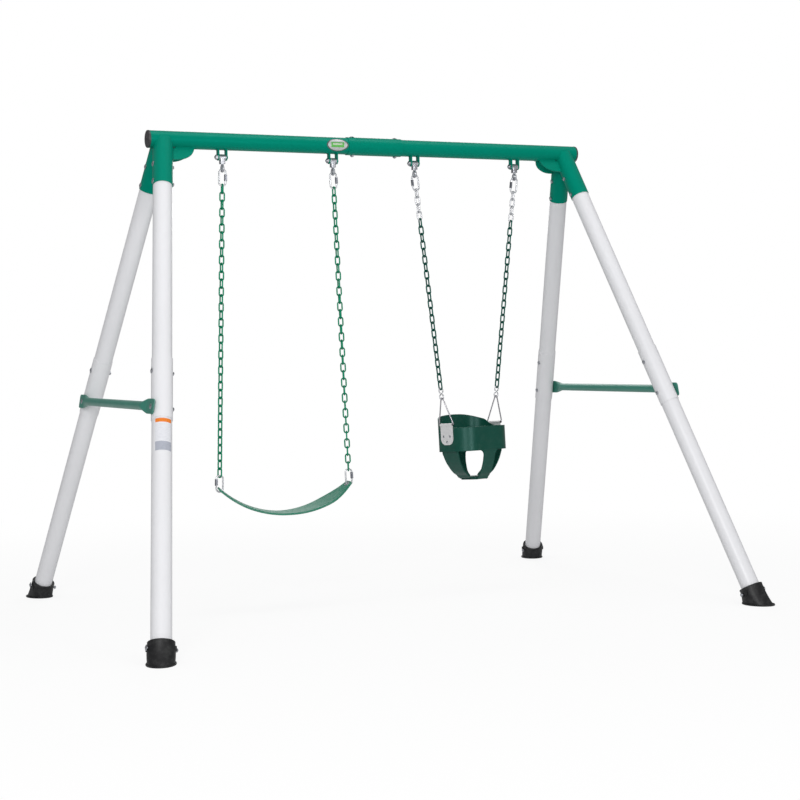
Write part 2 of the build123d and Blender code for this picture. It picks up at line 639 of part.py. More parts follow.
def s_hook():
    """Closed S in the xz plane, centred on the origin."""
    w = s_hook_wire_d
    r = (s_hook_loop_od - w) / 2
    c = s_hook_length / 2 - w / 2 - r
    th = math.asin(r / c)
    run = math.sqrt(c * c - r * r)
    p = (run * math.sin(th), run * math.cos(th))
    a0 = math.degrees(math.atan2(p[1] - c, p[0]))
    a1 = 236.0
    pt = lambda a: (r * math.cos(math.radians(a)), c + r * math.sin(math.radians(a)))
    mid = (a0 + a1) / 2
    e1 = ThreePointArc(pt(a1), pt(mid), p)
    e2 = Line(p, (-p[0], -p[1]))
    e3 = ThreePointArc((-p[0], -p[1]), tuple(-q for q in pt(mid)), tuple(-q for q in pt(a1)))
    path = Plane.XZ * Wire([e1, e2, e3])
    sec = Plane(origin=path @ 0, z_dir=path % 0) * Circle(w / 2)
    return sweep(sec, path)


hook = s_hook()
uppers, upper_nuts, zinc, hooks, bails, plates, rivets = [], [], [], [], [], [], []
bail_dirs = {}
for name, sx in sides.items():
    top = v(bucket_x + sx * half_hang, 0, hang_z)
    flat = v(bucket_x, 0, 0) + side_dir * (sx * apex_half)
    low = v(flat.X, flat.Y, apex_z)
    at_upper = link_frame(top, low, ql_in / 2)
    uppers.append(at_upper * quick_link)
    upper_nuts.append(at_upper * ql_nut(-1))
    start = ql_in - part_gap / 2
    tw = bucket_yaw / bucket_links
    zinc += chain_links(top, low, start, bucket_pitch_len, bucket_zinc_links, 90.0, tw)
    group(chain_links(top, low, start, bucket_pitch_len, bucket_green_links, 90.0, tw, bucket_zinc_links),
          "bucket_chain_" + name)
    hooks.append(link_frame(top, low, bucket_run - s_in / 2) * Rot(0, 0, bucket_yaw) * hook)
group(uppers, "bucket_upper_quick_links")
group(upper_nuts, "bucket_upper_link_nuts")
group(zinc, "bucket_zinc_links")
group(hooks, "bucket_s_hooks")

# bucket seat in its own frame: x to its right side, front at -y; placed with yaw and lean about the apexes
place = Location((bucket_x, 0, apex_z), (0, 0, bucket_yaw)) * Rot(-bucket_lean, 0, 0) * Pos(0, 0, -apex_z)
for name, sx in sides.items():
    run_out = apex_half - eye_u
    tilt = math.degrees(math.atan2(run_out, bail_rise))
    wire_r = bail_wire_d / 2
    height = math.hypot(bail_rise, run_out) + wire_r       # base wire centre to apex wire centre
    # sharp apex above the rounded one
    sharp = height
    for _ in range(30):
        half_apex = math.atan2(bail_half_base, sharp)
        sharp = height + bail_apex_r / math.sin(half_apex) - bail_apex_r
    tri = Polyline((-bail_half_base, 0), (bail_half_base, 0), (0, sharp), close=True)
    tri = make_face(tri)
    vs = tri.vertices()
    tri = fillet(vs.sort_by(Axis.Y)[-1], bail_apex_r)
    tri = fillet([q for q in tri.vertices() if abs(q.X) > bail_half_base - 1], bail_corner_r)
    path = Plane.YZ * tri.face().outer_wire()
    sec = Plane(origin=path @ 0, z_dir=path % 0) * Circle(wire_r)
    bail = sweep(sec, path)
    bails.append(place * Pos(sx * eye_u, 0, eye_z) * Rot(0, sx * tilt, 0) * bail)

    roll = Rot(90, 0, 0) * (Cylinder(plate_roll_od / 2, plate_width) - Cylinder(wire_r + part_gap, plate_width + 2))
    plate = extrude(Plane.YZ * make_face(Polyline(
        (-plate_width / 2, 0), (plate_width / 2, 0), (plate_width / 2, -plate_height),
        (-plate_width / 2, -plate_height), close=True)), plate_thick / 2, both=True)
    low_edges = [e for e in plate.edges().filter_by(Axis.X) if e.center().Z < -20]
    plate = fillet(low_edges, 28.0)
    plate = plate - Rot(90, 0, 0) * Cylinder(wire_r + part_gap, plate_width + 2) + roll
    layer = bucket_half_w - 3 * skin - 2 * skin_gap - skin_gap
    for ry, rd in rivet_places:
        plate = plate - Pos(0, ry, -rd) * rod_x(rivet_r + 0.1, -20, 20)
        x_out = eye_u + plate_thick / 2
        head = dome_x(rivet_head_r, rivet_head_h, x_out)
        shank = rod_x(rivet_r, layer - 1.5, x_out + 0.5)
        washer = rod_x(8.0, layer - 1.5, layer)
        turn = Rot(0, 0, 0) if sx > 0 else Rot(0, 0, 180)
        rivets.append(place * Pos(0, ry, eye_z - rd) * turn * (head + shank + washer))
    plates.append(place * Pos(sx * eye_u, 0, eye_z) * plate)
group(bails, "bucket_bails")
group(plates, "bucket_side_plates")
group(rivets, "bucket_rivets")


def oval(inset, z0, z1):
    """Rounded rectangle of the bucket's plan, inset from the outer face."""
    r = bucket_corner_r - inset
    face = RectangleRounded(2 * (bucket_half_w - inset), 2 * (bucket_half_d - inset), r)
    return Pos(0, 0, z0) * extrude(face, z1 - z0)


# how a strap rounds from a straight side into the flat under the seat
strap_round = [(0.946, 0.17), (0.818, 0.41), (0.60, 0.65), (0.378, 0.82), (0.142, 0.94)]


def strap_face(half, top, straight_to, low, flat, past):
    """Section of a strap: straight side at +half, rounded run, flat bottom to -past, skin thick inward."""
    deep = straight_to - low
    pts = [(half, straight_to)] + [(flat + (half - flat) * a, straight_to - deep * b) for a, b in strap_round]
    guide = Spline(*pts, (flat, low), tangents=[(0, -1), (-1, 0)])
    outer, inner = [], []
    for k in range(25):
        p, d = guide @ (k / 24), guide % (k / 24)
        outer.append((p.X, p.Y))
        inner.append((p.X + d.Y * skin, p.Y - d.X * skin))
    # each side of the skin as twelve short arcs along the guide
    arcs = [ThreePointArc(side[k], side[k + 1], side[k + 2]) for side in (outer, inner) for k in range(0, 24, 2)]
    return make_face(arcs + [
        Line((half, top), outer[0]), Line(outer[-1], (-past, low)), Line((-past, low), (-past, low + skin)),
        Line((-past, low + skin), inner[-1]), Line(inner[0], (half - skin, top)), Line((half - skin, top), (half, top))])


def strap_mask(top_half, low_half, mid_z, low_z):
    """Outline of a strap from the front: parallel or tapered sides that round out into the band."""
    r = leg_hole_corner_r
    z = band_bottom
    swing = r * math.sqrt(0.5)
    right = [Line((top_half + r, z + 30), (top_half + r, z)),
             ThreePointArc((top_half + r, z), (top_half + r - swing, z - r + swing), (top_half, z - r)),
             Line((top_half, z - r), (top_half, mid_z)), Line((top_half, mid_z), (low_half, low_z)),
             Line((low_half, low_z), (low_half, low_z - 30))]
    left = [mirror(e, Plane.YZ) for e in right]
    caps = [Line((-top_half - r, z + 30), (top_half + r, z + 30)), Line((-low_half, low_z - 30), (low_half, low_z - 30))]
    return extrude(Plane.XZ * make_face(right + left + caps), 200, both=True)


def rivet_holes(shape):
    for ry, rd in rivet_places:
        shape = shape - Pos(0, ry, eye_z - rd) * rod_x(rivet_r + 0.1, -200, 200)
    return shape


# side strap, innermost: one U from plate to plate
half = bucket_half_w - 2 * (skin + skin_gap)
low = bucket_low + 2 * (skin + skin_gap)
half_face = strap_face(half, side_strap_top, band_bottom + 4, low, strap_flat_half, 0.0)
half_strap = extrude(Plane.XZ * half_face, 80, both=True)
side_strap = half_strap + mirror(half_strap, Plane.YZ)
taper = make_face(Polyline(
    (side_strap_half_top, side_strap_top + 5), (side_strap_half_top, band_bottom), (side_strap_half_low, low + 15),
    (side_strap_half_low, low - 5), (-side_strap_half_low, low - 5), (-side_strap_half_low, low + 15),
    (-side_strap_half_top, band_bottom), (-side_strap_half_top, side_strap_top + 5), close=True))
side_strap = side_strap & extrude(Plane.YZ * taper, 200, both=True)
side_strap = side_strap & oval(2 * (skin + skin_gap), low - 10, side_strap_top + 10)
export(place * rivet_holes(side_strap), "bucket_side_strap")

# front panel: outer band with the strap that passes under the seat
front = oval(0, band_bottom, band_top) - oval(skin, band_bottom - 1, band_top + 1)
front = front - Pos(0, band_end + 100, band_top) * Box(400, 200, 400)
prof = strap_face(bucket_half_d, band_bottom + 20, band_bottom + 2, bucket_low, strap_flat_half, strap_flat_half - 4)
front_strap = mirror(extrude(Plane.YZ * prof, 80, both=True), Plane.XZ)
front_strap = front_strap & strap_mask(front_strap_half, front_strap_half - 2, band_bottom - 30, bucket_low + 25)
export(place * rivet_holes(front + front_strap), "bucket_front_panel")

# back panel: taller band, with a strap that narrows down to the bottom
inset = skin + skin_gap
back = oval(inset, band_bottom, back_top + 5) - oval(inset + skin, band_bottom - 1, back_top + 6)
back = back - Pos(0, -50 - 100, band_top) * Box(400, 200, 400)
rim = Spline((-60, band_top - 1), (-5, band_top + 2), (25, band_top + 12), (55, band_top + 34), (bucket_half_d + 1, back_top))
above = make_face([rim, Line((bucket_half_d + 1, back_top), (bucket_half_d + 1, 900)),
                   Line((bucket_half_d + 1, 900), (-60, 900)), Line((-60, 900), (-60, band_top - 1))])
back = back - extrude(Plane.YZ * above, 200, both=True)
brow = Spline((0, back_top), (75, back_top - 5), (bucket_half_w + 5, back_top - 46), tangents=[(1, 0), (0.5, -1)])
above = make_face([brow, Line(brow @ 1, (bucket_half_w + 5, 900)), Line((bucket_half_w + 5, 900), (0, 900)),
                   Line((0, 900), (0, back_top))])
above = extrude(Plane.XZ * above, 200, both=True)
back = back - above - mirror(above, Plane.YZ)
back_half = bucket_half_d - inset
prof = strap_face(back_half, band_bottom + 20, band_bottom + 2, bucket_low + inset,
                  strap_flat_half, strap_flat_half - 4)
back_strap = extrude(Plane.YZ * prof, 80, both=True)
back_strap = back_strap & strap_mask(back_strap_half_top, back_strap_half_low, band_bottom - 20, bucket_low + 25)
export(place * rivet_holes(back + back_strap), "bucket_back_panel")
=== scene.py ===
import math
import random
import bmesh
import bpy
from mathutils import Matrix, Vector


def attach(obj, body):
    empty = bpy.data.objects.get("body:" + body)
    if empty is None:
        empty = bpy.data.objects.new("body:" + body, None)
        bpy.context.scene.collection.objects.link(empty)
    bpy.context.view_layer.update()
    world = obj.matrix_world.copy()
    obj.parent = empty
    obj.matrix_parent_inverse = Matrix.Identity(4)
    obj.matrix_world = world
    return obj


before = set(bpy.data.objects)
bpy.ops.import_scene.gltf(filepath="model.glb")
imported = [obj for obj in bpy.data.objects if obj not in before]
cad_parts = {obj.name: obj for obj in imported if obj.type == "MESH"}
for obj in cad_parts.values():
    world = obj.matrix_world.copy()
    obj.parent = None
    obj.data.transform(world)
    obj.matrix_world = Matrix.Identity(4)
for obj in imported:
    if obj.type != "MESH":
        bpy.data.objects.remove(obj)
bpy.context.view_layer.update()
random.seed(7)

# The swing set stands on a plain white studio floor. Near the feet a little matt paint shows
# through its glow and takes a faint shadow; further out it is all glow, so that no horizon line
# shows. What it throws back on the undersides is a dull grey.
scene = bpy.context.scene
floor_reach = 60.0
bpy.ops.mesh.primitive_circle_add(vertices=96, radius=floor_reach, fill_type="NGON")
floor = bpy.context.object
floor.name = "studio_floor"
floor_paint = bpy.data.materials.new("studio_floor_paint")
floor_paint.use_nodes = True
tree = floor_paint.node_tree
tree.nodes.clear()
place = tree.nodes.new("ShaderNodeTexCoord")
from_middle = tree.nodes.new("ShaderNodeVectorMath")
from_middle.operation = "LENGTH"
fade = tree.nodes.new("ShaderNodeMapRange")
fade.interpolation_type = "SMOOTHSTEP"
fade.inputs["From Min"].default_value = 1.2
fade.inputs["From Max"].default_value = 4.5
fade.inputs["To Min"].default_value = 0.84
matt = tree.nodes.new("ShaderNodeBsdfDiffuse")
matt.inputs["Color"].default_value = (0.95, 0.95, 0.95, 1)
dull = tree.nodes.new("ShaderNodeBsdfDiffuse")
dull.inputs["Color"].default_value = (0.62, 0.62, 0.62, 1)
looked_at = tree.nodes.new("ShaderNodeLightPath")
choose = tree.nodes.new("ShaderNodeMixShader")
glow = tree.nodes.new("ShaderNodeEmission")
glow.inputs["Color"].default_value = (1, 1, 1, 1)
glow.inputs["Strength"].default_value = 1.0
mix = tree.nodes.new("ShaderNodeMixShader")
out = tree.nodes.new("ShaderNodeOutputMaterial")
tree.links.new(place.outputs["Object"], from_middle.inputs[0])
tree.links.new(from_middle.outputs["Value"], fade.inputs["Value"])
tree.links.new(fade.outputs["Result"], mix.inputs["Fac"])
tree.links.new(matt.outputs["BSDF"], mix.inputs[1])
tree.links.new(glow.outputs["Emission"], mix.inputs[2])
tree.links.new(looked_at.outputs["Is Camera Ray"], choose.inputs["Fac"])
tree.links.new(dull.outputs["BSDF"], choose.inputs[1])
tree.links.new(mix.outputs["Shader"], choose.inputs[2])
tree.links.new(choose.outputs["Shader"], out.inputs["Surface"])
floor.data.materials.append(floor_paint)

# Soft studio light: a white room that is brighter overhead and shows only faintly in glossy
# surfaces, a large softbox high on the left of the camera, a smaller one straight in front of
# the swings, a wide strip above the beam, and a softbox high up behind it.
scene.view_settings.view_transform = "Standard"
room = bpy.data.worlds.new("studio_room")
scene.world = room
room.use_nodes = True
tree = room.node_tree
tree.nodes.clear()
seen = tree.nodes.new("ShaderNodeBackground")
seen.inputs["Color"].default_value = (1, 1, 1, 1)
seen.inputs["Strength"].default_value = 1.0
lit = tree.nodes.new("ShaderNodeBackground")
direction = tree.nodes.new("ShaderNodeTexCoord")
parts_of = tree.nodes.new("ShaderNodeSeparateXYZ")
sky = tree.nodes.new("ShaderNodeValToRGB")
sky.color_ramp.elements[0].position = 0.0
sky.color_ramp.elements[0].color = (0.50, 0.50, 0.51, 1)
sky.color_ramp.elements[1].position = 0.75
sky.color_ramp.elements[1].color = (1, 1, 1, 1)
low_wall = sky.color_ramp.elements.new(0.12)
low_wall.color = (0.72, 0.73, 0.74, 1)
ray = tree.nodes.new("ShaderNodeLightPath")
mix = tree.nodes.new("ShaderNodeMixShader")
out = tree.nodes.new("ShaderNodeOutputWorld")
tree.links.new(direction.outputs["Generated"], parts_of.inputs["Vector"])
tree.links.new(parts_of.outputs["Z"], sky.inputs["Fac"])
tree.links.new(sky.outputs["Color"], lit.inputs["Color"])
dimmer = tree.nodes.new("ShaderNodeMapRange")
dimmer.inputs["To Min"].default_value = 0.56
dimmer.inputs["To Max"].default_value = 0.24
tree.links.new(ray.outputs["Is Glossy Ray"], dimmer.inputs["Value"])
tree.links.new(dimmer.outputs["Result"], lit.inputs["Strength"])
tree.links.new(ray.outputs["Is Camera Ray"], mix.inputs["Fac"])
tree.links.new(lit.outputs["Background"], mix.inputs[1])
tree.links.new(seen.outputs["Background"], mix.inputs[2])
tree.links.new(mix.outputs["Shader"], out.inputs["Surface"])


def softbox(name, at, aim, size, watts):
    lamp = bpy.data.lights.new(name, "AREA")
    lamp.shape = "RECTANGLE"
    lamp.size, lamp.size_y = size
    lamp.energy = watts
    box = bpy.data.objects.new(name, lamp)
    scene.collection.objects.link(box)
    box.location = at
    box.rotation_euler = (Vector(aim) - Vector(at)).to_track_quat("-Z", "Y").to_euler()


softbox("softbox_left", (-4.4, -7.4, 3.4), (0, 0, 1.0), (2.4, 3.2), 250)
softbox("softbox_front", (1.1, -8.0, 1.9), (0.2, 0, 0.9), (1.5, 2.6), 95)
softbox("strip_above", (0, -0.6, 5.2), (0, 0, 1.5), (4.5, 1.6), 45)
softbox("softbox_back", (2.5, 6.0, 3.5), (0, 0, 1.1), (3.0, 3.0), 80)

# Camera: level with the middle of the frame, in front and to the left of it, tipped and
# rolled a little, with a long lens.
camera_at = (-2.8895, -6.4263, 1.0586)
camera_yaw, camera_pitch, camera_roll = (math.radians(a) for a in (24.69, 1.577, -1.172))
forward = Vector((math.sin(camera_yaw) * math.cos(camera_pitch),
                  math.cos(camera_yaw) * math.cos(camera_pitch), -math.sin(camera_pitch)))
right = Vector((math.cos(camera_yaw), -math.sin(camera_yaw), 0))
up = right.cross(forward)
level_right = right * math.cos(camera_roll) + up * math.sin(camera_roll)
level_up = up * math.cos(camera_roll) - right * math.sin(camera_roll)
lens = bpy.data.cameras.new("studio_camera")
lens.lens = 74.3
lens.sensor_width = 36
lens.shift_x, lens.shift_y = 0.00975, -0.0021
camera = bpy.data.objects.new("studio_camera", lens)
camera.matrix_world = Matrix.Translation(camera_at) @ Matrix(
    (level_right, level_up, -forward)).transposed().to_4x4()
scene.collection.objects.link(camera)
scene.camera = camera

# ------------------------------------------------------------------ painted top beam
# Two steel tubes butted under a slid-on sleeve and bolted through. Everything green on the
# frame is dipped and baked in one powder coat: smooth, with a fine orange peel and dust on top.


def swatch(r, g, b):
    """An eight-bit paint-card colour as the linear colour a shader wants."""
    linear = [c / 255 / 12.92 if c <= 10 else ((c / 255 + 0.055) / 1.055) ** 2.4 for c in (r, g, b)]
    return (*linear, 1)


def texture_group(name, ins):
    """A shader group with those inputs, which puts out a colour, a roughness and a height."""
    group = bpy.data.node_groups.new(name, "ShaderNodeTree")
    kinds = {"c": "NodeSocketColor", "f": "NodeSocketFloat"}
    for label, kind, value in ins:
        socket = group.interface.new_socket(label, in_out="INPUT", socket_type=kinds[kind])
        socket.default_value = value
    for label, kind in (("Colour", "c"), ("Roughness", "f"), ("Height", "f")):
        group.interface.new_socket(label, in_out="OUTPUT", socket_type=kinds[kind])
    return group


def hand_over(group, colour, roughness, height):
    """Joins a texture group's three results to its outputs."""
    out = group.nodes.new("NodeGroupOutput")
    for label, what in (("Colour", colour), ("Roughness", roughness), ("Height", height)):
        group.links.new(what, out.inputs[label])


def put(tree, kind, links=(), **settings):
    """Adds one shader node: settings by property name, links as (input, output socket or value)."""
    node = tree.nodes.new("ShaderNode" + kind)
    for key, value in settings.items():
        setattr(node, key, value)
    for where, what in links:
        if isinstance(what, bpy.types.NodeSocket):
            tree.links.new(what, node.inputs[where])
        else:
            node.inputs[where].default_value = what
    return node


def sum_of(tree, operation, a, b=0.0):
    """One step of arithmetic on values or sockets."""
    return put(tree, "Math", [(0, a), (1, b)], operation=operation).outputs[0]


def spread(tree, value, low, high, to_low=0.0, to_high=1.0):
    """A value between low and high, stretched to lie between two others."""
    return put(tree, "MapRange", [("Value", value), ("From Min", low), ("From Max", high),
                                  ("To Min", to_low), ("To Max", to_high)]).outputs["Result"]


def blend_colour(tree, amount, a, b, how="MIX"):
    mix = put(tree, "Mix", data_type="RGBA", blend_type=how)
    for slot, what in ((0, amount), (6, a), (7, b)):
        if isinstance(what, bpy.types.NodeSocket):
            tree.links.new(what, mix.inputs[slot])
        else:
            mix.inputs[slot].default_value = what
    return mix.outputs[2]


def noise(tree, where, size, detail=2.0, roughness=0.5):
    """A cloudy grey pattern between 0 and 1, finer as its size number grows."""
    cloudy = put(tree, "TexNoise", [("Vector", where), ("Scale", size), ("Detail", detail),
                                    ("Roughness", roughness)])
    return cloudy.outputs["Fac"]


def either_side(tree, pattern, amount):
    """A pattern between 0 and 1, shifted to lie either side of nought and scaled."""
    return sum_of(tree, "MULTIPLY", sum_of(tree, "SUBTRACT", pattern, 0.5), amount)


def lightened(tree, colour, value):
    """A colour with its brightness multiplied by a value."""
    return put(tree, "HueSaturation", [("Value", value), ("Color", colour)]).outputs["Color"]


coat = texture_group("powder_coat", [("Paint", "c", (0.5, 0.5, 0.5, 1)), ("Unevenness", "f", 0.1),
                                     ("Gloss", "f", 0.3), ("Peel size", "f", 400.0), ("Dust", "f", 0.3)])
given = coat.nodes.new("NodeGroupInput")
where = put(coat, "TexCoord").outputs["Object"]
cloud = noise(coat, where, 5.0, detail=4.0)
value = sum_of(coat, "ADD", 1.0, either_side(coat, cloud, given.outputs["Unevenness"]))
tinted = lightened(coat, given.outputs["Paint"], value)
# hairline handling marks, drawn out along one slanting line
slant = put(coat, "Mapping", [("Vector", where), ("Scale", (9.0, 9.0, 2.2)), ("Rotation", (0.4, 0.2, 0.7))])
marks = spread(coat, noise(coat, slant.outputs["Vector"], 14.0, detail=6.0, roughness=0.75), 0.66, 0.72)
marked = blend_colour(coat, sum_of(coat, "MULTIPLY", marks, 0.05), tinted, (0.75, 0.76, 0.74, 1))
# dust that settles on whatever faces up
facing = put(coat, "SeparateXYZ", [("Vector", put(coat, "NewGeometry").outputs["Normal"])]).outputs["Z"]
settled = spread(coat, facing, 0.35, 1.0)
patchy = noise(coat, where, 22.0, detail=5.0)
dust = sum_of(coat, "MULTIPLY", settled, spread(coat, patchy, 0.3, 0.75))
dust = sum_of(coat, "MULTIPLY", dust, given.outputs["Dust"])
dusty = blend_colour(coat, dust, marked, (0.52, 0.50, 0.46, 1))
peel = noise(coat, where, given.outputs["Peel size"])
rough = sum_of(coat, "ADD", given.outputs["Gloss"], either_side(coat, patchy, 0.16))
dulled = sum_of(coat, "ADD", dust, sum_of(coat, "MULTIPLY", marks, 0.2))
rough = sum_of(coat, "ADD", rough, sum_of(coat, "MULTIPLY", dulled, 0.35))
hand_over(coat, dusty, rough, peel)


def finish(name, texture, values, bump, **surface):
    """A material: one shader fed by a texture group, with a fine relief of that depth in metres."""
    made = bpy.data.materials.new(name)
    made.use_nodes = True
    t = made.node_tree
    shader = t.nodes["Principled BSDF"]
    for label, value in surface.items():
        shader.inputs[label.replace("_", " ").title().replace("Ior", "IOR")].default_value = value
    skin = t.nodes.new("ShaderNodeGroup")
    skin.node_tree = texture
    for label, value in values.items():
        skin.inputs[label].default_value = value
    relief = put(t, "Bump", [("Height", skin.outputs["Height"]), ("Distance", bump), ("Strength", 1.0)])
    t.links.new(skin.outputs["Colour"], shader.inputs["Base Color"])
    t.links.new(skin.outputs["Roughness"], shader.inputs["Roughness"])
    t.links.new(relief.outputs["Normal"], shader.inputs["Normal"])
    return made


def coat_nodes(names, paint):
    for name in names:
        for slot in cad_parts[name].material_slots:
            slot.material = paint


beam_height = 1.934
beam_radius = 0.035
frame_green = finish("frame_green_coat", coat,
                     {"Paint": swatch(0, 131, 108), "Unevenness": 0.10, "Gloss": 0.36,
                      "Peel size": 420.0, "Dust": 0.01},
                     0.00012, specular_ior_level=0.28, specular_tint=(0.05, 0.9, 0.8, 1))
coat_nodes(["beam_tube_left", "beam_tube_right", "beam_sleeve"], frame_green)


def new_piece(name, mesh, paint, body):
    piece = bpy.data.objects.new(name, mesh)
    scene.collection.objects.link(piece)
    piece.data.materials.clear()
    piece.data.materials.append(paint)
    for face in getattr(piece.data, "polygons", []):
        face.use_smooth = True
    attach(piece, body)
    return piece


def run_of(points, radii, closed=False, sides=8):
    """Vertices and faces of a round bar that follows the points, with its own radius at each."""
    count = len(points)
    verts, faces = [], []
    side = None
    for i, p in enumerate(points):
        before = points[i - 1] if i or closed else p
        after = points[(i + 1) % count] if i + 1 < count or closed else p
        ahead = (after - before).normalized()
        if side is None:
            side = ahead.orthogonal().normalized()
        side = (side - ahead * side.dot(ahead)).normalized()
        other = ahead.cross(side)
        for k in range(sides):
            a = 2 * math.pi * k / sides
            verts.append(p + (side * math.cos(a) + other * math.sin(a)) * radii[i])
    for i in range(count if closed else count - 1):
        j = (i + 1) % count
        for k in range(sides):
            m = (k + 1) % sides
            faces.append((i * sides + k, i * sides + m, j * sides + m, j * sides + k))
    if not closed:
        faces.append(tuple(range(sides))[::-1])
        faces.append(tuple(range((count - 1) * sides, count * sides)))
    return verts, faces


def join_runs(name, runs):
    """One mesh of several runs of vertices and faces."""
    mesh = bpy.data.meshes.new(name)
    verts, faces = [], []
    for v, f in runs:
        faces += [tuple(i + len(verts) for i in face) for face in f]
        verts += v
    mesh.from_pydata(verts, [], faces)
    mesh.update()
    return mesh


def weld_run(path, radius, ripple=0.0028):
    """A weld bead along a path: a row of small overlapping ripples, ends tapered."""
    points = []
    for a, b in zip(path, path[1:]):
        steps = max(2, int((b - a).length / 0.0007))
        points += [a.lerp(b, k / steps) for k in range(steps)]
    points.append(path[-1])
    gone, radii = 0.0, []
    total = sum((b - a).length for a, b in zip(points, points[1:]))
    for i, p in enumerate(points):
        if i:
            gone += (p - points[i - 1]).length
        taper = min(1.0, 0.45 + min(gone, total - gone) / 0.004)
        wave = 0.86 + 0.14 * abs(math.sin(math.pi * gone / ripple)) + random.uniform(-0.02, 0.02)
        radii.append(radius * taper * wave)
    return run_of(points, radii, sides=7)


def loop_points(middle, half_across, half_up, count):
    """Points round a circle or an oval, from its middle and the two arrows out to its edge."""
    turns = [2 * math.pi * k / count for k in range(count)]
    return [middle + half_across * math.cos(a) + half_up * math.sin(a) for a in turns]


# The end caps are black moulded plugs pushed into the beam, each with a raised ring and a
# gate mark in the middle from the mould.
end_x = 0.984
cap_thick = 0.008
rubber = texture_group("moulded_skin", [("Colour", "c", (0.1, 0.1, 0.1, 1)), ("Unevenness", "f", 0.1),
                                        ("Gloss", "f", 0.5), ("Grain size", "f", 600.0), ("Bloom", "f", 0.1)])
given = rubber.nodes.new("NodeGroupInput")
where = put(rubber, "TexCoord").outputs["Object"]
cloud = noise(rubber, where, 9.0, detail=5.0)
value = sum_of(rubber, "ADD", 1.0, either_side(rubber, cloud, given.outputs["Unevenness"]))
tinted = lightened(rubber, given.outputs["Colour"], value)
scuffed = noise(rubber, where, 38.0, detail=7.0, roughness=0.7)
pale = sum_of(rubber, "MULTIPLY", spread(rubber, scuffed, 0.48, 0.80), given.outputs["Bloom"])
bloomed = blend_colour(rubber, pale, tinted, (0.42, 0.44, 0.42, 1))
pores = put(rubber, "TexVoronoi", [("Vector", where), ("Scale", given.outputs["Grain size"])])
grit = noise(rubber, where, given.outputs["Grain size"])
grain = sum_of(rubber, "ADD", sum_of(rubber, "MULTIPLY", pores.outputs["Distance"], 0.5), grit)
rough = sum_of(rubber, "ADD", given.outputs["Gloss"], either_side(rubber, scuffed, 0.22))
rough = sum_of(rubber, "ADD", rough, sum_of(rubber, "MULTIPLY", pale, 0.3))
hand_over(rubber, bloomed, rough, grain)
cap_black = finish("cap_moulding", rubber,
                   {"Colour": swatch(62, 60, 62), "Gloss": 0.42, "Grain size": 900.0, "Bloom": 0.12,
                    "Unevenness": 0.2},
                   0.00012, specular_ior_level=0.5)
coat_nodes(["beam_end_cap_left", "beam_end_cap_right"], cap_black)
edge_ring = (0.0275, 0.0012)
gate_mark = (0.0045, 0.0018)
rings = []
for sx in (-1, 1):
    middle = Vector((sx * (end_x + cap_thick), 0, beam_height))
    for radius, half_thick in (edge_ring, gate_mark):
        circle = loop_points(middle, Vector((0, radius, 0)), Vector((0, 0, radius)), 48)
        rings.append(run_of(circle, [half_thick] * 48, closed=True))
new_piece("cap_rings", join_runs("cap_rings", rings), cap_black, "frame")

# The badge is a thin printed oval stuck on the front of the beam: satin metal with a plain
# bright green panel, a pale bar in it and a dark line round its edge. It carries no words.
badge_x, badge_half_long, badge_half_high = -0.178, 0.049, 0.0256
badge_print = bpy.data.materials.new("badge_print")
badge_print.use_nodes = True
t = badge_print.node_tree
shader = t.nodes["Principled BSDF"]
place = put(t, "SeparateXYZ", [("Vector", put(t, "TexCoord").outputs["Object"])])
across = sum_of(t, "DIVIDE", sum_of(t, "SUBTRACT", place.outputs["X"], badge_x), badge_half_long)
upward = sum_of(t, "DIVIDE", sum_of(t, "SUBTRACT", place.outputs["Z"], beam_height), badge_half_high)


def inside(t, x, y, x_mid, y_mid, x_half, y_half):
    """One inside an upright rectangle, nought outside."""
    in_x = sum_of(t, "LESS_THAN", sum_of(t, "ABSOLUTE", sum_of(t, "SUBTRACT", x, x_mid)), x_half)
    in_y = sum_of(t, "LESS_THAN", sum_of(t, "ABSOLUTE", sum_of(t, "SUBTRACT", y, y_mid)), y_half)
    return sum_of(t, "MULTIPLY", in_x, in_y)


oval = sum_of(t, "ADD", sum_of(t, "MULTIPLY", across, across), sum_of(t, "MULTIPLY", upward, upward))
panel = inside(t, across, upward, 0.0, 0.02, 0.60, 0.42)
bar = inside(t, across, upward, 0.0, 0.12, 0.44, 0.12)
print_colour = blend_colour(t, panel, swatch(202, 206, 206), swatch(104, 190, 92))
print_colour = blend_colour(t, bar, print_colour, swatch(214, 226, 206))
print_colour = blend_colour(t, sum_of(t, "GREATER_THAN", oval, 0.80), print_colour, swatch(96, 104, 104))
t.links.new(print_colour, shader.inputs["Base Color"])
drawn_out = put(t, "Mapping", [("Vector", put(t, "TexCoord").outputs["Object"]),
                               ("Scale", (40.0, 900.0, 900.0))])
brushed = noise(t, drawn_out.outputs["Vector"], 1.0)
t.links.new(spread(t, brushed, 0.3, 0.7, 0.28, 0.42), shader.inputs["Roughness"])
relief = put(t, "Bump", [("Height", brushed), ("Distance", 0.00003)])
t.links.new(relief.outputs["Normal"], shader.inputs["Normal"])
shader.inputs["Metallic"].default_value = 0.35
coat_nodes(["badge_plate"], badge_print)

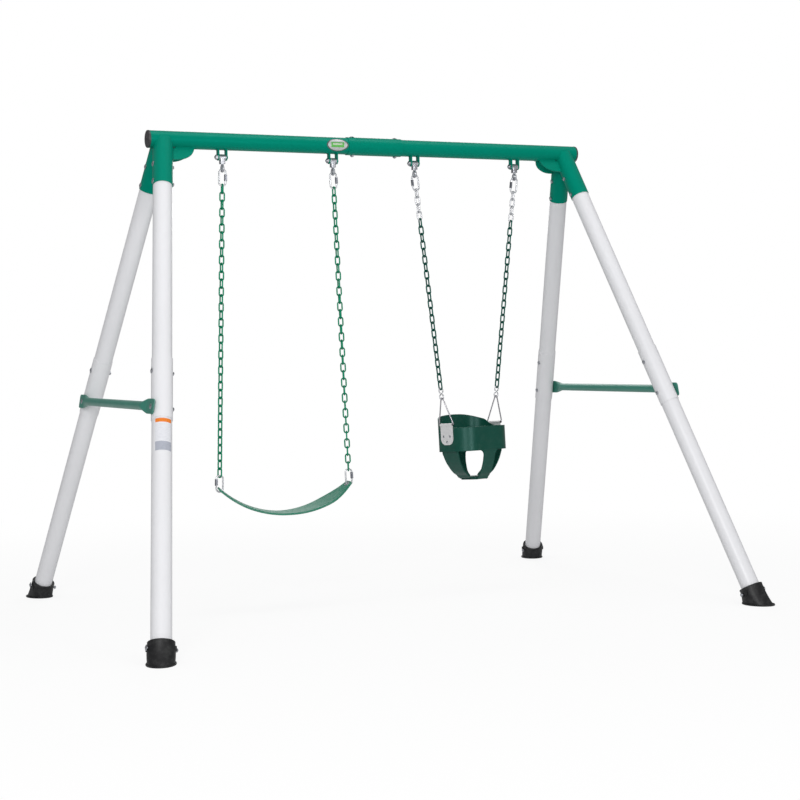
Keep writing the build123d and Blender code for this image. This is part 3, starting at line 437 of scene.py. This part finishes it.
# ------------------------------------------------------------------ fastenings
# Dome-headed bolts, cap nuts and swivel pins are zinc plated: bright, faintly blotched, with
# a fine spangle. A plain washer sits under every bolt head on the frame.
zinc = texture_group("zinc_plate", [("Metal", "c", (0.7, 0.7, 0.7, 1)), ("Blotch", "f", 0.2),
                                    ("Gloss", "f", 0.25), ("Spangle size", "f", 300.0)])
given = zinc.nodes.new("NodeGroupInput")
where = put(zinc, "TexCoord").outputs["Object"]
flake = put(zinc, "TexVoronoi", [("Vector", where), ("Scale", given.outputs["Spangle size"])])
grey = put(zinc, "RGBToBW", [("Color", flake.outputs["Color"])]).outputs["Val"]
blotch = noise(zinc, where, 45.0, detail=5.0, roughness=0.65)
value = sum_of(zinc, "ADD", 1.0, either_side(zinc, grey, 0.10))
darker = sum_of(zinc, "MULTIPLY", spread(zinc, blotch, 0.5, 0.8), given.outputs["Blotch"])
plated = lightened(zinc, given.outputs["Metal"], sum_of(zinc, "SUBTRACT", value, darker))
rough = sum_of(zinc, "ADD", given.outputs["Gloss"], sum_of(zinc, "MULTIPLY", grey, 0.08))
rough = sum_of(zinc, "ADD", rough, sum_of(zinc, "MULTIPLY", spread(zinc, blotch, 0.4, 0.8), 0.18))
bumps = sum_of(zinc, "ADD", blotch, sum_of(zinc, "MULTIPLY", grey, 0.2))
hand_over(zinc, plated, rough, bumps)


def zinc_finish(name, colour, gloss, blotches, relief, metallic=1.0):
    return finish(name, zinc, {"Metal": colour, "Gloss": gloss, "Blotch": blotches}, relief,
                  metallic=metallic)


bolt_zinc = zinc_finish("bolt_zinc", swatch(190, 192, 198), 0.26, 0.16, 0.00004)
coat_nodes(["beam_bolts", "beam_nuts", "frame_bolts", "frame_nuts", "hanger_pins", "hanger_pin_nuts"],
           bolt_zinc)


def ring_profile(axis_point, axis, profile, sides=40):
    """A turned ring: profile is a closed list of (radius, distance along the axis)."""
    axis = axis.normalized()
    side = axis.orthogonal().normalized()
    other = axis.cross(side)
    verts, faces = [], []
    for k in range(sides):
        a = 2 * math.pi * k / sides
        out = side * math.cos(a) + other * math.sin(a)
        verts += [axis_point + out * r + axis * h for r, h in profile]
    n = len(profile)
    for k in range(sides):
        here = k * n
        ahead = (k + 1) % sides * n
        for i in range(n):
            j = (i + 1) % n
            faces.append((here + i, here + j, ahead + j, ahead + i))
    return verts, faces


leg_top_x, leg_foot_x, leg_foot_y = 0.926, 1.263, 0.936
leg_length = math.sqrt((leg_foot_x - leg_top_x) ** 2 + leg_foot_y ** 2 + beam_height ** 2)
socket_radius, leg_sleeve_radius, beam_sleeve_radius = 0.0405, 0.0405, 0.0375
brace_wall, brace_gap = 0.0016, 0.0004
brace_face = leg_sleeve_radius + brace_wall + brace_gap + brace_wall
# how far down the leg each bolt goes through, and how far out its washer lies there
bolt_places = ((0.125, socket_radius), (0.206, socket_radius), (1.046, leg_sleeve_radius),
               (1.194, brace_face))
boot_bolt_up, boot_face = 0.056, 0.0538
beam_bolt_x = 0.099
washer_sink = 0.0002
# the washer's section: radius and height, once round
washer = [(0.0054, 0.0), (0.0112, 0.0), (0.0114, 0.0005), (0.0110, 0.0012), (0.0056, 0.0012)]


def leg_lines():
    """Side and end signs, top point, direction down the leg and the outward square to the A-frame."""
    for sx in (-1, 1):
        for sy in (-1, 1):
            top = Vector((sx * leg_top_x, 0, beam_height))
            down = (Vector((sx * leg_foot_x, sy * leg_foot_y, 0)) - top).normalized()
            outward = Vector((sx * beam_height, 0, leg_foot_x - leg_top_x)).normalized()
            yield sx, sy, top, down, outward


washers = []
for sx, sy, top, down, outward in leg_lines():
    for at, out in bolt_places:
        washers.append(ring_profile(top + down * at + outward * (out - washer_sink), outward, washer))
    boot_bolt = top + down * (leg_length - boot_bolt_up)
    washers.append(ring_profile(boot_bolt + outward * boot_face, outward, washer))
for sx in (-1, 1):
    seat = Vector((sx * beam_bolt_x, 0, beam_height + beam_sleeve_radius))
    washers.append(ring_profile(seat, Vector((0, 0, 1)), washer))
new_piece("bolt_washers", join_runs("bolt_washers", washers), bolt_zinc, "frame")

# ------------------------------------------------------------------ sockets, gussets, ears
# The leg sockets, their gussets and the swing ears are welded to the beam before it is
# coated, so the weld runs are the same green.
coat_nodes(["leg_socket_front_left", "leg_socket_front_right", "leg_socket_rear_left",
            "leg_socket_rear_right", "socket_gussets", "hanger_ears"], frame_green)
hanger_places = (-0.677, -0.188, 0.192, 0.681)
ear_width, ear_thick, ear_pitch = 0.027, 0.0045, 0.0346
ear_weld_radius, gusset_weld_radius = 0.0021, 0.0022
ear_weld_out, gusset_weld_out, gusset_weld_aside = 0.0006, 0.0004, 0.0036
gusset_weld_x = (0.790, 0.835, 0.872)
welds = []
for hanger in hanger_places:
    for s in (-1, 1):
        for face in (-1, 1):
            x = hanger + s * ear_pitch / 2 + face * (ear_thick / 2 + ear_weld_out)
            path = [Vector((x, y, beam_height - math.sqrt(beam_radius ** 2 - y * y) - ear_weld_out))
                    for y in [ear_width / 2 * k / 8 for k in range(-8, 9)]]
            welds.append(weld_run(path, ear_weld_radius))
half_angle = math.atan2(leg_foot_y, math.hypot(beam_height, leg_foot_x - leg_top_x))
for sx, sy, top, down, outward in leg_lines():
    fall = Vector((0, sy * math.sin(half_angle), -math.cos(half_angle)))
    flat = Vector((sx, 0, 0)).cross(fall)
    for face in (-1, 1):
        start = Vector((0, 0, beam_height)) + fall * (beam_radius + gusset_weld_out)
        start += flat * face * gusset_weld_aside
        path = [start + Vector((sx * x, 0, 0)) for x in gusset_weld_x]
        welds.append(weld_run(path, gusset_weld_radius))
new_piece("weld_runs", join_runs("weld_runs", welds), frame_green, "frame")

# ------------------------------------------------------------------ legs
# Each leg is two round steel tubes, coated off-white and joined by an outside sleeve of the
# same finish that is bolted through.
leg_white = finish("leg_white_coat", coat,
                   {"Paint": swatch(233, 233, 236), "Unevenness": 0.05, "Gloss": 0.36, "Peel size": 380.0,
                    "Dust": 0.08},
                   0.00010, coat_weight=0.2, coat_roughness=0.25, specular_ior_level=0.4)
coat_nodes([f"{part}_leg_{end}_{side}" for part in ("upper", "lower") for end in ("front", "rear")
            for side in ("left", "right")] + ["leg_sleeves"], leg_white)

# The label is a plain film band on the front left leg: an orange strip, a white field with
# faint grey rules and a grey foot. It carries no words.
label_from, label_long = 1.252, 0.128
label_film = bpy.data.materials.new("label_film")
label_film.use_nodes = True
t = label_film.node_tree
shader = t.nodes["Principled BSDF"]
_, _, top, down, _ = next(leg_lines())
place = put(t, "TexCoord").outputs["Object"]
offset = put(t, "VectorMath", [(0, place), (1, tuple(top))], operation="SUBTRACT")
along = put(t, "VectorMath", [(0, offset.outputs["Vector"]), (1, tuple(down))], operation="DOT_PRODUCT")
share = sum_of(t, "DIVIDE", sum_of(t, "SUBTRACT", along.outputs["Value"], label_from), label_long)
bands = put(t, "ValToRGB", [("Fac", share)])
bands.color_ramp.interpolation = "CONSTANT"
bands.color_ramp.elements[0].color = swatch(240, 130, 40)
bands.color_ramp.elements[1].position = 0.12
bands.color_ramp.elements[1].color = swatch(232, 233, 238)
grey_foot = bands.color_ramp.elements.new(0.72)
grey_foot.color = swatch(176, 180, 192)
rule = sum_of(t, "GREATER_THAN", sum_of(t, "FRACT", sum_of(t, "MULTIPLY", share, 22.0)), 0.72)
rule = sum_of(t, "MULTIPLY", rule, inside(t, share, share, 0.42, 0.42, 0.26, 0.26))
broken = noise(t, place, 60.0)
rule = sum_of(t, "MULTIPLY", rule, spread(t, broken, 0.42, 0.55, 0.0, 0.35))
t.links.new(blend_colour(t, rule, bands.outputs["Color"], swatch(170, 174, 184)), shader.inputs["Base Color"])
t.links.new(spread(t, broken, 0.3, 0.7, 0.24, 0.36), shader.inputs["Roughness"])
shader.inputs["Coat Weight"].default_value = 0.3
coat_nodes(["leg_label"], label_film)

# ------------------------------------------------------------------ cross braces
# One tube across each A-frame, its ends pressed flat and bolted outside the leg sleeves.
# The same green, on a slightly rougher coat that catches more of the room; its paint is also set lighter and
# greyer than the beam's, a painted sheen of that room.
# painted sheen: the brace's paint colour is a lighter, greyer copy of the frame green, standing in for the
# room's reflection
brace_green_with_painted_sheen = finish("brace_green_coat", coat,
                     {"Paint": swatch(50, 134, 116), "Unevenness": 0.14, "Gloss": 0.42, "Peel size": 420.0,
                      "Dust": 0.10},
                     0.00012, coat_weight=0.3, coat_roughness=0.3, specular_ior_level=0.6)
coat_nodes(["cross_brace_left", "cross_brace_right"], brace_green_with_painted_sheen)

# ------------------------------------------------------------------ boots
# A black rubber boot is pushed on each leg end and cross-bolted, with a rolled lip round its
# mouth and a tread line round the sole.
boot_black = finish("boot_rubber", rubber,
                    {"Colour": swatch(24, 24, 26), "Gloss": 0.46, "Grain size": 520.0, "Bloom": 0.09,
                     "Unevenness": 0.3},
                    0.00022, specular_ior_level=0.45)
coat_nodes([f"foot_boot_{end}_{side}" for end in ("front", "rear") for side in ("left", "right")], boot_black)
mouth_up, mouth_radius, mouth_lip = 0.078, 0.0470, 0.0024
tread_up, tread_half_long, tread_half_wide, tread_line = 0.0030, 0.0705, 0.0530, 0.0011
lips = []
for sx, sy, top, down, outward in leg_lines():
    mouth = top + down * (leg_length - mouth_up)
    side = down.orthogonal().normalized()
    circle = loop_points(mouth, side * mouth_radius, down.cross(side) * mouth_radius, 64)
    lips.append(run_of(circle, [mouth_lip] * 64, closed=True, sides=10))
    ahead = Vector((sx * (leg_foot_x - leg_top_x), sy * leg_foot_y, 0)).normalized()
    aside = Vector((-ahead.y, ahead.x, 0))
    middle = Vector((sx * leg_foot_x, sy * leg_foot_y, tread_up))
    tread = loop_points(middle, ahead * tread_half_long, aside * tread_half_wide, 96)
    lips.append(run_of(tread, [tread_line] * 96, closed=True))
new_piece("boot_lips", join_runs("boot_lips", lips), boot_black, "frame")

# ------------------------------------------------------------------ swing hangers
# Forged yokes turn on the pins between the ears, and a ring eye swivels in each yoke. All
# are zinc plated, a bit duller than the chain fittings.
hanger_zinc = zinc_finish("hanger_zinc", swatch(204, 206, 212), 0.30, 0.14, 0.00004)
coat_nodes(["belt_yokes", "bucket_yokes", "belt_swivel_left", "belt_swivel_right", "bucket_swivel_left",
            "bucket_swivel_right"], hanger_zinc)

# Quick links are bent zinc-plated wire closed by a screwed sleeve of darker steel. The S-hooks,
# the belt's eyelets and the bucket's wire bails are plated too.
link_zinc = zinc_finish("link_zinc", swatch(232, 233, 237), 0.32, 0.05, 0.00001)
coat_nodes(["belt_upper_quick_links", "belt_lower_quick_links", "bucket_upper_quick_links",
            "bucket_zinc_links", "bucket_s_hooks", "belt_grommets"], link_zinc)
bail_zinc = zinc_finish("bail_zinc", swatch(196, 194, 200), 0.26, 0.08, 0.00001)
coat_nodes(["bucket_bails"], bail_zinc)
sleeve_steel = zinc_finish("link_sleeve_steel", swatch(150, 152, 160), 0.30, 0.20, 0.00004)
coat_nodes(["belt_upper_link_nuts", "belt_lower_link_nuts", "bucket_upper_link_nuts"], sleeve_steel)

# ------------------------------------------------------------------ chains
# Welded steel chain dipped in soft vinyl: bright green on the belt swing, deep green on the
# bucket. Where one link bears on the next the dip is painted darker in patches, as painted shade between the
# links.
def dipped(name, colour, top_z, pitch_z):
    """Vinyl dip of one colour on a chain whose first link hangs from top_z, a link each pitch_z, with painted
    shade where one link meets the next.
    """
    made = finish(name, rubber,
                  {"Colour": colour, "Gloss": 0.26, "Grain size": 500.0, "Bloom": 0.02, "Unevenness": 0.25},
                  0.00008, specular_ior_level=0.40, coat_weight=0.15, coat_roughness=0.15,
                  specular_tint=(0.3, 1.0, 0.85, 1))
    t = made.node_tree
    shader = t.nodes["Principled BSDF"]
    plain = shader.inputs["Base Color"].links[0].from_socket
    place = put(t, "TexCoord").outputs["Object"]
    height = put(t, "SeparateXYZ", [("Vector", place)]).outputs["Z"]
    phase = sum_of(t, "FRACT", sum_of(t, "DIVIDE", sum_of(t, "SUBTRACT", top_z, height), pitch_z))
    # painted shade: a mask at the joints, where one link bears on the next, broken into patches by noise
    link_joint_shade = spread(t, sum_of(t, "ABSOLUTE", sum_of(t, "SUBTRACT", phase, 0.5)), 0.36, 0.48)
    joint_shade_patches = noise(t, place, 160.0)
    painted_joint_shade = sum_of(t, "MULTIPLY", link_joint_shade, spread(t, joint_shade_patches, 0.35, 0.7, 0.15, 0.6))
    # the dark colour here is painted shade at the link joints
    t.links.new(blend_colour(t, painted_joint_shade, plain, swatch(20, 46, 40)), shader.inputs["Base Color"])
    return made


chain_top_z = 1.8179 - 0.0604
belt_pitch, bucket_pitch = 0.03218, 0.03183
coat_nodes(["belt_chain_left", "belt_chain_right"],
           dipped("belt_chain_dip", swatch(0, 138, 98), chain_top_z, belt_pitch))
coat_nodes(["bucket_chain_left", "bucket_chain_right"],
           dipped("bucket_chain_dip", swatch(6, 78, 66), chain_top_z, bucket_pitch))

# ------------------------------------------------------------------ belt seat
# A moulded strap seat hung by a zinc-plated eyelet at each end. Its top is finely ribbed
# and chalky from use, and a smooth lip of clean green runs right round its edge.
belt_green = finish("belt_moulding", rubber,
                    {"Colour": swatch(6, 120, 92), "Gloss": 0.45, "Grain size": 700.0, "Bloom": 0.10,
                     "Unevenness": 0.12},
                    0.00015)
belt_ribbed = finish("belt_ribbed_top", rubber,
                     {"Colour": swatch(60, 138, 114), "Gloss": 0.55, "Grain size": 500.0, "Bloom": 0.45,
                      "Unevenness": 0.20},
                     0.0002)
coat_nodes(["belt_seat"], belt_ribbed)


def moulded_lip(name, nodes, radius, sink, sharp, paint, body):
    """A round lip along every sharp edge of moulded nodes, sunk a little way into the edge."""
    straight_on = 0.7
    shortest_lip = 0.012
    runs = []
    for node in nodes:
        solid = bmesh.new()
        solid.from_mesh(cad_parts[node].data)
        bmesh.ops.remove_doubles(solid, verts=solid.verts, dist=1e-6)
        edges = {e for e in solid.edges if len(e.link_faces) == 2 and e.calc_face_angle(0.0) > sharp}
        while edges:
            edge = edges.pop()
            chain = [edge.verts[0], edge.verts[1]]
            for grow in (1, 0):
                while True:
                    end = chain[-1] if grow else chain[0]
                    old = chain[-2] if grow else chain[1]
                    heading = (end.co - old.co).normalized()
                    nearby = [e for e in end.link_edges if e in edges
                              and (e.other_vert(end).co - end.co).normalized().dot(heading) > straight_on]
                    if not nearby:
                        break
                    step = nearby[0]
                    edges.discard(step)
                    nxt = step.other_vert(end)
                    chain = chain + [nxt] if grow else [nxt] + chain
            closed = chain[0] is chain[-1]
            if closed:
                chain = chain[:-1]
            points = []
            for vert in chain:
                normals = [f.normal for f in vert.link_faces]
                bisect = sum((n for n in normals), Vector((0, 0, 0)))
                bisect = bisect.normalized() if bisect.length > 1e-6 else Vector((0, 0, 0))
                points.append(vert.co - bisect * sink)
            if sum((b - a).length for a, b in zip(points, points[1:])) > shortest_lip:
                runs.append(run_of(points, [radius] * len(points), closed=closed, sides=8))
        solid.free()
    return new_piece(name, join_runs(name, runs), paint, body)


lip_sink, sharp_edge = 0.0008, math.radians(40)
moulded_lip("belt_lip", ["belt_seat"], 0.0013, lip_sink, sharp_edge, belt_green, "belt_seat")

# ------------------------------------------------------------------ bucket seat
# Three straps of moulded rubber riveted together: a front band with its strap, a taller back,
# and one strap from side to side under the seat. Rounded lips run along every cut edge.
bucket_green = finish("bucket_rubber", rubber,
                      {"Colour": swatch(0, 68, 54), "Gloss": 0.36, "Grain size": 650.0, "Bloom": 0.03,
                       "Unevenness": 0.15},
                      0.00010, specular_ior_level=0.6, specular_tint=(0.6, 1.0, 0.97, 1))
bucket_straps = ["bucket_front_panel", "bucket_back_panel", "bucket_side_strap"]
coat_nodes(bucket_straps, bucket_green)
moulded_lip("bucket_lips", bucket_straps, 0.0012, lip_sink, sharp_edge, bucket_green, "bucket_seat")

# The side plates are stamped and rolled round the wire bails, then riveted through all
# three straps. A crease runs below each roll, and a black bushing sits at each end of it.
plate_zinc = zinc_finish("side_plate_zinc", swatch(240, 239, 240), 0.42, 0.08, 0.00004, metallic=0.35)
coat_nodes(["bucket_side_plates"], plate_zinc)
coat_nodes(["bucket_rivets"], bolt_zinc)
bucket_x, bail_apex_z = 0.4365, 0.85588
bucket_yaw, bucket_lean = math.radians(16.0), math.radians(3.0)
hinge_z, plate_x = 0.743, 0.14455
crease_drop, crease_out, crease_ys = 0.0105, 0.00105, (-0.0365, -0.012, 0.012, 0.0365)
bushing_ys = (-0.0425, 0.0385)
seat_place = (Matrix.Translation((bucket_x, 0, bail_apex_z)) @ Matrix.Rotation(bucket_yaw, 4, "Z")
              @ Matrix.Rotation(-bucket_lean, 4, "X") @ Matrix.Translation((0, 0, -bail_apex_z)))
creases, bushings = [], []
bush = [(0.0028, 0.0), (0.0046, 0.0), (0.0050, 0.0008), (0.0050, 0.0032), (0.0046, 0.0040), (0.0028, 0.0040)]
along_bail = seat_place.to_3x3() @ Vector((0, 1, 0))
for sx in (-1, 1):
    line = [seat_place @ Vector((sx * (plate_x + crease_out), y, hinge_z - crease_drop)) for y in crease_ys]
    creases.append(run_of(line, [0.0006, 0.0009, 0.0009, 0.0006]))
    for y in bushing_ys:
        start = seat_place @ Vector((sx * plate_x, y, hinge_z))
        bushings.append(ring_profile(start, along_bail, bush, sides=24))
new_piece("side_plate_creases", join_runs("side_plate_creases", creases), plate_zinc, "bucket_seat")
new_piece("bail_bushings", join_runs("bail_bushings", bushings), cap_black, "bucket_seat")
